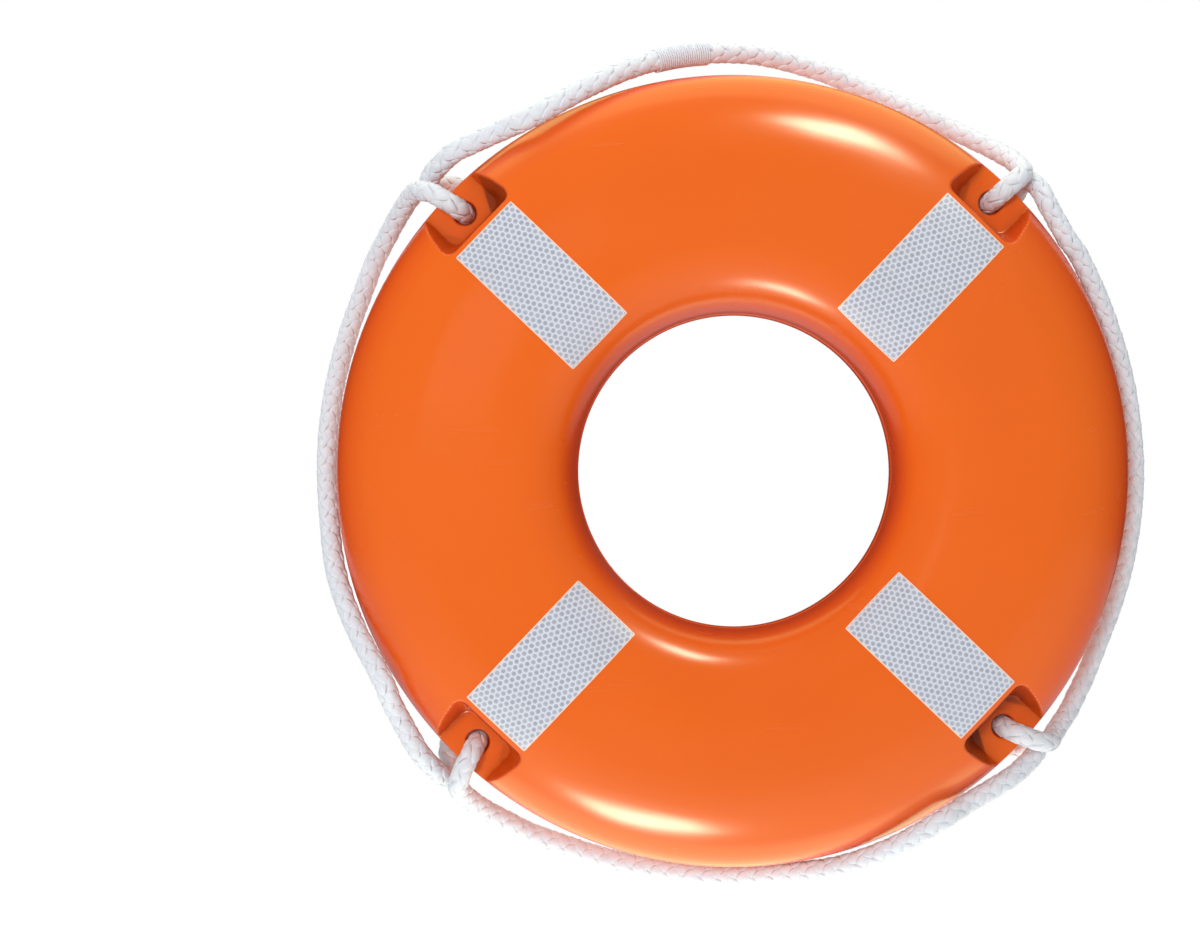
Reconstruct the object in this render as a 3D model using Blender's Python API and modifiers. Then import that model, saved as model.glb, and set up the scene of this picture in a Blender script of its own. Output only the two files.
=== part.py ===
"""Life ring: two moulded shell halves round a foam core, with reflective tapes and a grab line.

The ring is modelled about its own axis: x right, y up, z towards the front face.
An empty then stands it upright, with its front towards -Y and the top of its hole at the origin,
which is where it hangs on a peg.
"""
import math

import bmesh
import bpy
from mathutils import Matrix, Vector
from mathutils.geometry import interpolate_bezier

# Ring body, in metres
RING_RADIUS = 0.250
HOLE_RADIUS = 0.100
RING_THICKNESS = 0.109
CROWN_LAND = 0.016
RIM_SQUARENESS = 2.2
HOLE_SQUARENESS = 3.1
SHELL_WALL = 0.0025
FOAM_CLEARANCE = 0.0003
WELD_GAP = 0.0003

# Rope lugs: a pocket in each face leaves a web, and the web has a bore for the rope
LUG_ANGLES = {"upper_right": 45, "upper_left": 135, "lower_left": 225, "lower_right": 315}
WEB_THICKNESS = 0.031
POCKET_REACH = 0.029
POCKET_FLOOR_WIDTH = 0.0396
POCKET_DRAFT = math.radians(13)
POCKET_CORNER_RADIUS = 0.009
POCKET_FLOOR_FILLET = 0.0045
POCKET_OVERRUN = 0.020
BORE_RADIUS = 0.008
BORE_SHOULDER = 0.004
BORE_FLARE = 0.0015
BORE_OVERRUN = 0.0005

# Reflective tapes
TAPE_WIDTH = 0.0475
TAPE_LENGTH = 0.0963
TAPE_POCKET_GAP = 0.011
TAPE_THICKNESS = 0.0005
TAPE_GAP = 0.0003
TAPE_CORNER_RADIUS = 0.002
TAPE_PRISM_FOOT = 0.020

# Grab line
ROPE_RADIUS = 0.006
ROPE_POINT_SPACING = 0.024
ROPE_JOINT_GAP = 0.0003
ROPE_STRAIGHT_END = 2 * ROPE_RADIUS
HITCH_WEB_GAP = 0.0035
HITCH_BORE_OFFSET = 0.0005
HITCH_BACK_SQUARENESS = 4.0
HITCH_FRONT_SQUARENESS = 3.5
HITCH_TURN_POINTS = 12
HITCH_POINT_SPACING = 0.008
# Where the back and front strands of each hitch cross the rim beside the lug, clockwise positive
HITCH_CROSSINGS = {
    "upper_right": (0.0100, 0.0015),
    "upper_left": (0.0120, -0.0040),
    "lower_left": (0.0130, -0.0055),
    "lower_right": (0.0085, -0.0070),
}
# The rope before and after each hitch's turn, chosen by hand in millimetres:
# clockwise beside the lug, radius along it, depth to the back
HITCH_ARRIVALS = {
    "upper_right": ((38, 253.8, -15.5), (26, 257.2, -16.5), (18.2, 261.1, -12.8), (10, 263.5, -5),
                    (6.5, 263, 3.5), (7.7, 260.2, 12), (9, 257, 20.5)),
    "upper_left": ((38, 255.7, -24), (26, 261.3, -21), (14.5, 264.6, -15), (2.5, 266.5, -5),
                   (-1, 266, 3.5), (3.3, 262, 12), (9, 257.5, 20.5)),
    "lower_left": ((38, 255.4, -24), (26, 260, -21), (13.2, 263.5, -15), (0, 265.5, -5),
                   (-3.5, 265, 3.5), (2, 261.5, 12), (9.5, 257.5, 20.5)),
    "lower_right": ((38, 251, -24), (26, 255.4, -21), (12.5, 259.6, -15), (-1.5, 262.4, -5),
                    (-5, 262.2, 3.5), (-0.5, 260, 12), (5.5, 257, 20.5)),
}
HITCH_DEPARTURES = {
    "upper_right": ((2, 255.5, -23), (1.5, 260.8, -17.5), (-2.5, 263.8, -9.5), (-9, 266.3, -0.5),
                    (-17, 267, 8.5), (-28, 266.2, 17), (-40, 264, 23.5)),
    "upper_left": ((-5.7, 255.5, -23), (-8, 260.8, -17.5), (-11.5, 265.4, -9.5), (-18, 267.6, -0.5),
                   (-26, 268.2, 8), (-36, 267.9, 16), (-48, 266.4, 23.5)),
    "lower_left": ((-7.8, 255.5, -23), (-10.5, 260.8, -17.5), (-14, 263.9, -9.5), (-20.5, 266.2, -0.5),
                   (-28.5, 267.4, 8), (-38, 267.6, 16), (-50, 266.2, 23.5)),
    "lower_right": ((-9.8, 255.5, -23), (-13, 260.2, -17.5), (-16.5, 261.6, -9.5), (-23, 263, -0.5),
                    (-31, 264.2, 8), (-40, 264.6, 16), (-51, 263.4, 23.5)),
}
# Free stretches from lug to lug, chosen by hand: angle in degrees, radius and depth in millimetres
BIGHT_ROUTES = {
    "top": ((60, 265.5, 32), (68, 266.6, 37), (77, 270, 33), (86, 271.2, 21),
            (95, 267.6, 5), (103, 261, -12), (111, 253, -28), (119, 249.5, -36)),
    "left": ((152, 269.6, 34), (159, 268.4, 37.5), (167, 266.4, 33), (176, 263, 21),
             (185, 259, 5), (193, 257, -12), (201, 252.5, -28), (209, 250, -36)),
    "bottom": ((242.5, 270.2, 34), (250, 268.8, 38), (257, 266.2, 34), (266, 262.6, 21),
               (275, 258.8, 5), (283, 257, -12), (291, 252.5, -28), (299, 249, -36)),
    "right": ((332.5, 268, 34), (340, 268, 37.5), (347, 266.4, 33), (356, 263.6, 24),
              (365, 261, 16), (374, 259, 7.5), (383, 257.4, -2), (391, 256.8, -11.5)),
}
BIGHT_ENDS = {
    "top": ("upper_right", "upper_left"),
    "left": ("upper_left", "lower_left"),
    "bottom": ("lower_left", "lower_right"),
    "right": ("lower_right", "upper_right"),
}

# Twine whipping over the join of the rope's two ends, on the top stretch
WHIPPING_START = 0.186
WHIPPING_LENGTH = 0.038
WHIPPING_WALL = 0.0008
WHIPPING_CLEARANCE = 0.0003

# Facets
STEPS_PER_EIGHTH = 8
SHELL_SEGMENTS = 6
CAVITY_SEGMENTS = 4
CORNER_SEGMENTS = 3
FILLET_SEGMENTS = 2
BORE_SIDES = 16
BIGHT_RESOLUTION = 2
HITCH_RESOLUTION = 1
WHIPPING_RESOLUTION = 4
SMOOTH_ANGLE = math.radians(30)
MERGE_DISTANCE = 0.00001

MID_RADIUS = (RING_RADIUS + HOLE_RADIUS) / 2
WEB_FACE = WEB_THICKNESS / 2
POCKET_INNER_RADIUS = RING_RADIUS - POCKET_REACH
BORE_CENTRE_RADIUS = POCKET_INNER_RADIUS + BORE_SHOULDER + BORE_RADIUS
TAPE_OUTER_RADIUS = POCKET_INNER_RADIUS - TAPE_POCKET_GAP
TAPE_INNER_RADIUS = TAPE_OUTER_RADIUS - TAPE_LENGTH
MILLIMETRE = 0.001


def new_collection(name):
    collection = bpy.data.collections.new(name)
    bpy.context.scene.collection.children.link(collection)
    return collection


def new_object(name, data, collection):
    obj = bpy.data.objects.new(name, data)
    collection.objects.link(obj)
    return obj


def new_material(name, colour, roughness, metallic=0.0):
    material = bpy.data.materials.new(name)
    material.use_nodes = True
    material.diffuse_color = (*colour, 1.0)
    shader = material.node_tree.nodes["Principled BSDF"]
    shader.inputs["Base Color"].default_value = (*colour, 1.0)
    shader.inputs["Roughness"].default_value = roughness
    shader.inputs["Metallic"].default_value = metallic
    return material


def mesh_object(name, bm, collection):
    bmesh.ops.recalc_face_normals(bm, faces=bm.faces)
    mesh = bpy.data.meshes.new(name)
    bm.to_mesh(mesh)
    bm.free()
    return new_object(name, mesh, collection)


def mark_cutter(obj):
    obj.hide_render = True
    obj.display_type = "WIRE"
    return obj


def boolean(target, operation, cutter):
    modifier = target.modifiers.new(cutter.name, "BOOLEAN")
    modifier.operation = operation
    modifier.solver = "EXACT"
    modifier.object = cutter


def evaluated_mesh(obj):
    bpy.context.view_layer.update()
    return bpy.data.meshes.new_from_object(obj.evaluated_get(bpy.context.evaluated_depsgraph_get()))


def bake(obj, material):
    """Keep the modelled form as plain faces, round ones shaded smooth."""
    mesh = evaluated_mesh(obj)
    obj.modifiers.clear()
    obj.data = mesh
    mesh.materials.clear()
    mesh.materials.append(material)
    mesh.shade_smooth()
    mesh.set_sharp_from_angle(angle=SMOOTH_ANGLE)
    return obj


def quarter_section(inset, segments, squareness, foot):
    """Distances from the middle of the section and rises, from the parting plane up to the crown."""
    half_land = CROWN_LAND / 2
    width = (RING_RADIUS - HOLE_RADIUS) / 2 - half_land - inset
    height = RING_THICKNESS / 2 - inset
    quarter = []
    for index in range(segments + 1):
        turn = math.pi / 2 * index / segments
        across = half_land + width * max(math.cos(turn), 0.0) ** (2 / squareness)
        rise = height * math.sin(turn) ** (2 / squareness)
        quarter.append((across, max(rise, foot)))
    return quarter


def half_section(inset, segments, foot=0.0):
    """Section above the parting plane, from the crown's outer edge down the rim and up from the hole."""
    rim_side = [(MID_RADIUS + across, rise)
                for across, rise in reversed(quarter_section(inset, segments, RIM_SQUARENESS, foot))]
    hole_side = [(MID_RADIUS - across, rise)
                 for across, rise in quarter_section(inset, segments, HOLE_SQUARENESS, foot)]
    return rim_side + hole_side


def full_section(inset, segments):
    """The whole closed section, its rim side running down."""
    upper = half_section(inset, segments)
    rim_side = upper[:segments + 1]
    hole_side = upper[segments + 1:]
    lower_rim = [(across, -rise) for across, rise in reversed(rim_side[:-1])]
    lower_hole = [(across, -rise) for across, rise in reversed(hole_side[1:])]
    return rim_side + lower_rim + lower_hole + hole_side


def over_crown(outline):
    """A half section as one open run, from the hole over the crown to the rim."""
    middle = len(outline) // 2
    return outline[middle:] + outline[:middle]


def flipped(outline):
    """The same outline on the back face, still with its rim side running down."""
    return [(across, -rise) for across, rise in reversed(outline)]


def turned(name, outline, collection):
    """A closed outline turned about the ring's axis."""
    mesh = bpy.data.meshes.new(name)
    bm = bmesh.new()
    corners = [bm.verts.new((across, 0.0, rise)) for across, rise in outline]
    for start, end in zip(corners, corners[1:] + corners[:1]):
        bm.edges.new((start, end))
    bm.to_mesh(mesh)
    bm.free()
    obj = new_object(name, mesh, collection)
    screw = obj.modifiers.new("turn", "SCREW")
    screw.steps = 8 * STEPS_PER_EIGHTH
    screw.render_steps = screw.steps
    screw.use_merge_vertices = True
    screw.merge_threshold = MERGE_DISTANCE
    return obj


def pocket_block(grow):
    """One pocket beside +X on the front face: a tapered block with filleted corners and floor edge."""
    floor = WEB_FACE - grow
    top = RING_THICKNESS / 2 + POCKET_OVERRUN
    outer_end = RING_RADIUS + POCKET_OVERRUN
    side_shift = grow / math.cos(POCKET_DRAFT)
    bm = bmesh.new()
    bmesh.ops.create_cube(bm, size=1.0)
    for vert in bm.verts:
        level = top if vert.co.z > 0 else floor
        lean = (level - WEB_FACE) * math.tan(POCKET_DRAFT) + side_shift
        radius = outer_end if vert.co.x > 0 else POCKET_INNER_RADIUS - lean
        side = math.copysign(POCKET_FLOOR_WIDTH / 2 + lean, vert.co.y)
        vert.co = (radius, side, level)
    inner = POCKET_INNER_RADIUS + POCKET_CORNER_RADIUS
    corner_edges = [edge for edge in bm.edges
                    if all(vert.co.x < inner for vert in edge.verts)
                    and abs(edge.verts[0].co.z - edge.verts[1].co.z) > grow]
    bmesh.ops.bevel(bm, geom=corner_edges, offset=POCKET_CORNER_RADIUS + grow, offset_type="OFFSET",
                    segments=CORNER_SEGMENTS, profile=0.5, affect="EDGES")
    floor_edges = [edge for edge in bm.edges
                   if all(abs(vert.co.z - floor) < MERGE_DISTANCE for vert in edge.verts)
                   and not all(abs(vert.co.x - outer_end) < MERGE_DISTANCE for vert in edge.verts)]
    bmesh.ops.bevel(bm, geom=floor_edges, offset=POCKET_FLOOR_FILLET + grow, offset_type="OFFSET",
                    segments=FILLET_SEGMENTS, profile=0.5, affect="EDGES")
    return bm


def pocket_cutter(name, face, grow, collection):
    """The four pockets of one face, 1 for the front and -1 for the back."""
    joined = bmesh.new()
    for angle in LUG_ANGLES.values():
        block = pocket_block(grow)
        place = Matrix.Rotation(math.radians(angle), 4, "Z") @ Matrix.Diagonal((1.0, 1.0, face, 1.0))
        block.transform(place)
        part = bpy.data.meshes.new(name)
        block.to_mesh(part)
        block.free()
        joined.from_mesh(part)
        bpy.data.meshes.remove(part)
    return mark_cutter(mesh_object(name, joined, collection))


def bore_cutter(name, radius, half_length, flare, collection):
    """The four rope bores, each flared at both mouths."""
    throat = half_length - flare
    profile = [(0.0, half_length), (radius + flare, half_length), (radius, throat),
               (radius, -throat), (radius + flare, -half_length), (0.0, -half_length)]
    bm = bmesh.new()
    for angle in LUG_ANGLES.values():
        turn = Matrix.Rotation(math.radians(angle), 4, "Z")
        centre = turn @ Vector((BORE_CENTRE_RADIUS, 0.0, 0.0))
        points = [bm.verts.new(centre + Vector((across, 0.0, rise))) for across, rise in profile]
        edges = [bm.edges.new(pair) for pair in zip(points, points[1:])]
        bmesh.ops.spin(bm, geom=points + edges, cent=centre, axis=(0, 0, 1), angle=2 * math.pi,
                       steps=BORE_SIDES, use_merge=True)
    bmesh.ops.remove_doubles(bm, verts=bm.verts, dist=MERGE_DISTANCE)
    return mark_cutter(mesh_object(name, bm, collection))


def hollow_body(name, inset, cutters):
    """The ring's body drawn in by an inset, with the lugs' walls kept clear of it."""
    body = turned(name, full_section(inset, CAVITY_SEGMENTS), cutters)
    for face, label in ((1, "front"), (-1, "back")):
        boolean(body, "DIFFERENCE", pocket_cutter(f"{name}_{label}_pockets", face, inset, cutters))
    boolean(body, "DIFFERENCE", bore_cutter(f"{name}_bores", BORE_RADIUS + inset, WEB_FACE, 0.0, cutters))
    return body


def build_shell(label, face, cavity, bores, material, parts, cutters):
    """One moulded half: rounded outside, pockets, webs, bore collars and an even wall."""
    outline = half_section(0.0, SHELL_SEGMENTS, foot=WELD_GAP / 2)
    shell = turned(f"{label}_shell", outline if face > 0 else flipped(outline), parts)
    boolean(shell, "DIFFERENCE", pocket_cutter(f"{label}_pockets", face, 0.0, cutters))
    boolean(shell, "DIFFERENCE", bores)
    boolean(shell, "DIFFERENCE", cavity)
    bake(shell, material)


def build_tapes(label, face, material, parts, cutters):
    """Four tapes of one face: a thin layer over the crown, cut to a rectangle at each lug."""
    top = over_crown(half_section(-(TAPE_GAP + TAPE_THICKNESS), SHELL_SEGMENTS))
    underside = over_crown(half_section(-TAPE_GAP, SHELL_SEGMENTS))
    outline = top + underside[::-1]
    layer = turned(f"{label}_tape_pattern", outline if face > 0 else flipped(outline), cutters)
    bm = bmesh.new()
    bmesh.ops.create_cube(bm, size=1.0)
    prism_top = RING_THICKNESS / 2 + POCKET_OVERRUN
    for vert in bm.verts:
        radius = TAPE_OUTER_RADIUS if vert.co.x > 0 else TAPE_INNER_RADIUS
        level = prism_top if vert.co.z > 0 else TAPE_PRISM_FOOT
        vert.co = (radius, math.copysign(TAPE_WIDTH / 2, vert.co.y), face * level)
    upright = [edge for edge in bm.edges if abs(edge.verts[0].co.z - edge.verts[1].co.z) > TAPE_PRISM_FOOT]
    bmesh.ops.bevel(bm, geom=upright, offset=TAPE_CORNER_RADIUS, offset_type="OFFSET",
                    segments=FILLET_SEGMENTS, profile=0.5, affect="EDGES")
    prism = mark_cutter(mesh_object(f"{label}_tape_prism", bm, cutters))
    boolean(layer, "INTERSECT", prism)
    pattern = bake(mark_cutter(layer), material).data
    for place, angle in LUG_ANGLES.items():
        tape = new_object(f"{label}_tape_{place}", pattern, parts)
        tape.rotation_euler.z = math.radians(angle)


def smooth_points(route, spacing):
    """Points along a smooth curve through the route's own, whose first and last runs stay straight."""
    last = len(route) - 1
    tangents = [(route[min(i + 1, last)] - route[max(i - 1, 0)]).normalized() for i in range(last + 1)]
    tangents[1] = tangents[0]
    tangents[last - 1] = tangents[last]
    points = [route[0]]
    for index in range(last):
        start, end = route[index], route[index + 1]
        reach = (end - start).length / 3
        count = max(1, round((end - start).length / spacing))
        curve = interpolate_bezier(start, start + tangents[index] * reach,
                                   end - tangents[index + 1] * reach, end, count + 1)
        points += curve[1:]
    return points


def beside_lug(angle, clockwise, radius, back):
    """A point given beside a lug: distance clockwise, radius along the lug and depth to the back."""
    turn = math.radians(angle)
    outward = Vector((math.cos(turn), math.sin(turn), 0.0))
    clockwise_way = Vector((math.sin(turn), -math.cos(turn), 0.0))
    return outward * radius + clockwise_way * clockwise + Vector((0.0, 0.0, -back))


def hitch_turn(place):
    """Half a turn about the web: down behind it, through the bore and up in front."""
    bore = BORE_CENTRE_RADIUS + HITCH_BORE_OFFSET
    depth = WEB_FACE + ROPE_RADIUS + HITCH_WEB_GAP
    points = []
    for index in range(HITCH_TURN_POINTS + 1):
        turn = math.pi * index / HITCH_TURN_POINTS
        inward, back = max(math.sin(turn), 0.0), math.cos(turn)
        side = 0 if index * 2 <= HITCH_TURN_POINTS else 1
        power = 2 / (HITCH_BACK_SQUARENESS, HITCH_FRONT_SQUARENESS)[side]
        outward = 1 - inward ** power
        points.append(beside_lug(LUG_ANGLES[place], HITCH_CROSSINGS[place][side] * outward,
                                 bore + (RING_RADIUS - bore) * outward,
                                 depth * math.copysign(abs(back) ** power, back)))
    return points


def lead_points(place, lead):
    return [beside_lug(LUG_ANGLES[place], *(value * MILLIMETRE for value in point)) for point in lead]


def hitch_points(place):
    """The rope past one lug: over the rim to the back, round the web and away again."""
    arrival = lead_points(place, HITCH_ARRIVALS[place])
    departure = lead_points(place, HITCH_DEPARTURES[place])
    return smooth_points(arrival + hitch_turn(place) + departure, HITCH_POINT_SPACING)


def bight_points(name, hitches):
    """A free stretch from the end of one hitch to the start of the next, face to face with both."""
    leaving, arriving = (hitches[place] for place in BIGHT_ENDS[name])
    out_way = (leaving[-1] - leaving[-2]).normalized()
    in_way = (arriving[1] - arriving[0]).normalized()
    route = [leaving[-1] + out_way * ROPE_JOINT_GAP,
             leaving[-1] + out_way * (ROPE_JOINT_GAP + ROPE_STRAIGHT_END)]
    for degrees, radius, back in BIGHT_ROUTES[name]:
        route.append(beside_lug(degrees, 0.0, radius * MILLIMETRE, back * MILLIMETRE))
    route += [arriving[0] - in_way * (ROPE_JOINT_GAP + ROPE_STRAIGHT_END),
              arriving[0] - in_way * ROPE_JOINT_GAP]
    return smooth_points(route, ROPE_POINT_SPACING)


def stretch_of(points, start, length, overrun=0.0):
    """The part of a run of points between two distances along it, with straight overruns."""
    ends = (start, start + length)
    found = []
    passed = 0.0
    for first, second in zip(points, points[1:]):
        step = (second - first).length
        found += [first.lerp(second, (end - passed) / step) for end in ends if passed <= end < passed + step]
        if ends[0] < passed + step < ends[1]:
            found.append(second)
        passed += step
    found[0] += (found[0] - found[1]).normalized() * overrun
    found[-1] += (found[-1] - found[-2]).normalized() * overrun
    return found


def tube(name, points, radius, resolution, collection):
    """A round tube with filled ends through a run of points."""
    curve = bpy.data.curves.new(name, "CURVE")
    curve.dimensions = "3D"
    curve.bevel_depth = radius
    curve.bevel_resolution = resolution
    curve.use_fill_caps = True
    spline = curve.splines.new("POLY")
    spline.points.add(len(points) - 1)
    for target, point in zip(spline.points, points):
        target.co = (*point, 1.0)
    return new_object(name, curve, collection)


def solid_tube(name, points, radius, resolution, collection):
    """The same tube as a mesh, its caps welded on, ready for a Boolean."""
    curve = tube(name, points, radius, resolution, collection)
    bm = bmesh.new()
    bm.from_mesh(evaluated_mesh(curve))
    bmesh.ops.remove_doubles(bm, verts=bm.verts, dist=MERGE_DISTANCE)
    place = curve.matrix_world.copy()
    bpy.data.objects.remove(curve)
    solid = mesh_object(name, bm, collection)
    solid.matrix_world = place
    return solid


def build_whipping(bight, material, parts, cutters):
    """A sleeve of twine that the rope runs through, on the same bends as the rope."""
    sides = 4 + 2 * WHIPPING_RESOLUTION
    bore = (ROPE_RADIUS + WHIPPING_CLEARANCE) / math.cos(math.pi / sides)
    sleeve = solid_tube("rope_whipping", stretch_of(bight, WHIPPING_START, WHIPPING_LENGTH),
                        bore + WHIPPING_WALL, WHIPPING_RESOLUTION, parts)
    hole = solid_tube("rope_whipping_bore",
                      stretch_of(bight, WHIPPING_START, WHIPPING_LENGTH, overrun=ROPE_RADIUS),
                      bore, WHIPPING_RESOLUTION, cutters)
    boolean(sleeve, "DIFFERENCE", mark_cutter(hole))
    bake(sleeve, material)


def path_length(points):
    return sum((second - first).length for first, second in zip(points, points[1:]))


def least_gap(points):
    """Least gap between a rope and itself, on points at least half a turn's wrap apart along it."""
    apart = math.pi * 2 * ROPE_RADIUS
    along = [path_length(points[:index + 1]) for index in range(len(points))]
    return min((points[i] - points[j]).length - 2 * ROPE_RADIUS
               for i in range(len(points)) for j in range(i) if along[i] - along[j] > apart)


def build_grab_line(material, parts):
    hitches = {place: hitch_points(place) for place in LUG_ANGLES}
    bights = {name: bight_points(name, hitches) for name in BIGHT_ENDS}
    for place, points in hitches.items():
        tube(f"rope_hitch_{place}", points, ROPE_RADIUS, HITCH_RESOLUTION, parts).data.materials.append(material)
        print(f"rope_hitch_{place}: least gap to itself {least_gap(points) * 1000:.2f} mm")
    for name, points in bights.items():
        tube(f"rope_bight_{name}", points, ROPE_RADIUS, BIGHT_RESOLUTION, parts).data.materials.append(material)
    runs = list(hitches.values()) + list(bights.values())
    print(f"grab line length {sum(path_length(points) for points in runs):.3f} m")
    return bights


def build():
    for obj in list(bpy.data.objects):
        bpy.data.objects.remove(obj, do_unlink=True)
    parts = new_collection("life_ring")
    cutters = new_collection("cutters")
    orange = new_material("orange_shell", (0.84, 0.12, 0.01), 0.28)
    foam = new_material("rigid_foam", (0.86, 0.76, 0.5), 0.9)
    silver = new_material("reflective_tape", (0.62, 0.65, 0.7), 0.35, 0.3)
    white = new_material("white_braid", (0.85, 0.85, 0.84), 0.75)
    twine = new_material("white_twine", (0.8, 0.8, 0.78), 0.7)

    cavity = mark_cutter(hollow_body("cavity", SHELL_WALL, cutters))
    bores = bore_cutter("bores", BORE_RADIUS, WEB_FACE + BORE_OVERRUN, BORE_FLARE, cutters)
    build_shell("front", 1, cavity, bores, orange, parts, cutters)
    build_shell("back", -1, cavity, bores, orange, parts, cutters)

    core = bake(hollow_body("foam_core", SHELL_WALL + FOAM_CLEARANCE, cutters), foam)
    cutters.objects.unlink(core)
    parts.objects.link(core)

    build_tapes("front", 1, silver, parts, cutters)
    build_tapes("back", -1, silver, parts, cutters)
    bights = build_grab_line(white, parts)
    build_whipping(bights["top"], twine, parts, cutters)

    axis = new_object("ring_axis", None, parts)
    axis.location.z = -HOLE_RADIUS
    axis.rotation_euler.x = math.radians(90)
    for obj in list(parts.objects) + list(cutters.objects):
        if obj != axis:
            obj.parent = axis


build()
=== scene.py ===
"""Looks of the life ring: smooth moulded shells, honeycomb tapes and a braided grab line."""
import math
import random

import bmesh
import bpy
from mathutils import Matrix, Vector
from mathutils.geometry import interpolate_bezier


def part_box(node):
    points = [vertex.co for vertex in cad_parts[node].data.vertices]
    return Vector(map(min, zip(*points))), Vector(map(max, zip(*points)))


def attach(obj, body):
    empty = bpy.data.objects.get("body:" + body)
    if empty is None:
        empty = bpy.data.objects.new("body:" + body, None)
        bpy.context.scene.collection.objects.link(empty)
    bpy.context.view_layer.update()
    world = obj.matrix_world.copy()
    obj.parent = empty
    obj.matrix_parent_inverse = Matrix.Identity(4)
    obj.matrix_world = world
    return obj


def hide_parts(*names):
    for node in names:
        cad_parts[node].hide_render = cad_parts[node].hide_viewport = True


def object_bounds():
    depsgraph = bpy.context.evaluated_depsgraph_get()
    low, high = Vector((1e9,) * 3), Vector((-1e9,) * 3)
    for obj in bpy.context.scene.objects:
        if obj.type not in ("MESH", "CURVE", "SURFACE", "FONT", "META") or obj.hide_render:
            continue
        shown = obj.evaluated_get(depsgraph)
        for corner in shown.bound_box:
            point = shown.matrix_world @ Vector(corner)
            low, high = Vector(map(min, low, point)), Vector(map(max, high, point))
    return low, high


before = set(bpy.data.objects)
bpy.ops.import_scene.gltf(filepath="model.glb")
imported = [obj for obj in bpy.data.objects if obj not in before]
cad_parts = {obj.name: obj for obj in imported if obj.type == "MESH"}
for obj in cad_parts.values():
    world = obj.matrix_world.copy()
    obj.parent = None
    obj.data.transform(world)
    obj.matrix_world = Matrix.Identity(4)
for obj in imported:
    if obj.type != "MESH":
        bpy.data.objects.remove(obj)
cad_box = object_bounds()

# Ring body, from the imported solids; the row's origin is the top of the hole
SHELL_LOW, SHELL_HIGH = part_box("front_shell")
RING_RADIUS = (SHELL_HIGH.x - SHELL_LOW.x) / 2
HOLE_RADIUS = RING_RADIUS - SHELL_HIGH.z
HALF_THICKNESS = -SHELL_LOW.y
MID_RADIUS = (RING_RADIUS + HOLE_RADIUS) / 2
HALF_LAND = 0.008
RIM_SQUARENESS = 2.2
HOLE_SQUARENESS = 3.1

# Rope lugs, in metres
LUG_ANGLES = {"upper_right": 45, "upper_left": 135, "lower_left": 225, "lower_right": 315}
WEB_FACE = 0.0155
POCKET_INNER_RADIUS = RING_RADIUS - 0.029
POCKET_HALF_WIDTH = 0.0198
POCKET_DRAFT = math.radians(13)
POCKET_CORNER_BLEND = 0.0075
POCKET_FLOOR_BLEND = 0.0035
POCKET_MOUTH_BLEND = 0.0020
POCKET_MOUTH_HALF_WIDTH = 0.0246
POCKET_MARGIN = 0.02
# The painted shade deeper in the pockets is full at this depth
POCKET_FULL_DEPTH = 0.020
# Painted shade in the pockets' corners and painted shadow wedges up their side walls
POCKET_SHADE_REACH = 0.0030
CORNER_SHADE_SHARE = 0.35
WALL_SHADE_SPREAD = 2.0
SHADOW_WEDGE_START = 0.003
SHADOW_WEDGE_SLOPE = 0.55
SHADOW_WEDGE_EDGE = 0.0018
# How dark the painted shadow wedges are on each pocket's clockwise and counter-clockwise walls
SHADOW_WEDGES = {
    "upper_right": (0.05, 0.40),
    "upper_left": (0.90, 0.35),
    "lower_left": (0.05, 0.35),
    "lower_right": (0.95, 0.65),
}
BORE_RADIUS = 0.0075
BORE_FLARE = 0.0014
BORE_THROAT = 0.0064
BORE_THROAT_DEPTH = 0.0042
BORE_CENTRE_RADIUS = POCKET_INNER_RADIUS + 0.012
BORE_STEPS = 5

# Weld bead along the parting line
WELD_GAP = 0.00005
BEAD_HEIGHT = 0.0004
BEAD_WIDTH = 0.0008
BEAD_FULLNESS = 0.8
BEAD_CLEARANCE = BEAD_WIDTH * 1.5

# Spacing of the shell's mesh lines
FINE_SPACING = 0.0008
RIM_SPACING = 0.0016
PLAIN_SPACING = 0.0030
FINE_ZONE = 0.012
RIM_ZONE = 0.006
SECTION_SAMPLES = 3000
BORE_CUT_MARGIN = FINE_SPACING * 0.3
BORE_RIM_REACH = FINE_SPACING * 2
SHELL_SHARP_ANGLE = math.radians(50)
LUG_SECTOR = math.radians(16)
LUG_SECTOR_STEPS = 84
PLAIN_SECTOR_STEPS = 26

# Reflective tapes
TAPE_WIDTH = 0.0475
TAPE_OUTER_RADIUS = POCKET_INNER_RADIUS - 0.011
TAPE_LENGTH = 0.0963
TAPE_LIFT = 0.0004
TAPE_EDGE = 0.0008
TAPE_CELL = 0.00374
TAPE_CORNER_RADIUS = 0.0007
TAPE_CORNER_SEGMENTS = 3
TAPE_COLUMNS = 20
TAPE_ROWS = 40
TAPE_RUN_STEPS = 200
TAPE_SHARP_ANGLE = math.radians(40)

# Grab line
ROPE_DIAMETER = 0.012
ROPE_RADIUS = ROPE_DIAMETER / 2
ROPE_STEP = 0.0021
BRAID_PITCH = 0.048
BRAID_CARRIERS = 4
STRAND_CIRCLE = 0.0046
STRAND_WAVE = 0.00038
STRAND_WIDTH = 0.0074
STRAND_DEPTH = 0.0028
STRAND_SIDES = 8
CORE_RADIUS = 0.0047
STRAND_SEED = 4
# How much each strand wanders in turn, lift and thickness, and how fast along the line
TURN_WANDER, TURN_WANDER_RATE = 0.05, 90
LIFT_WANDER, LIFT_WANDER_RATE = 0.00006, 140
PUFF_WANDER, PUFF_WANDER_RATE = 0.03, 110
STRAND_PUFF = 0.10
WHIPPING_START = 0.186
WHIPPING_LENGTH = 0.038
WHIPPING_SPARE_POINTS = 3
TWINE_RADIUS = 0.00075
TWINE_PITCH = 0.0016
TWINE_SIDES = 6
TWINE_STEPS = 24
TWINE_DEPTH = 0.15

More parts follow.
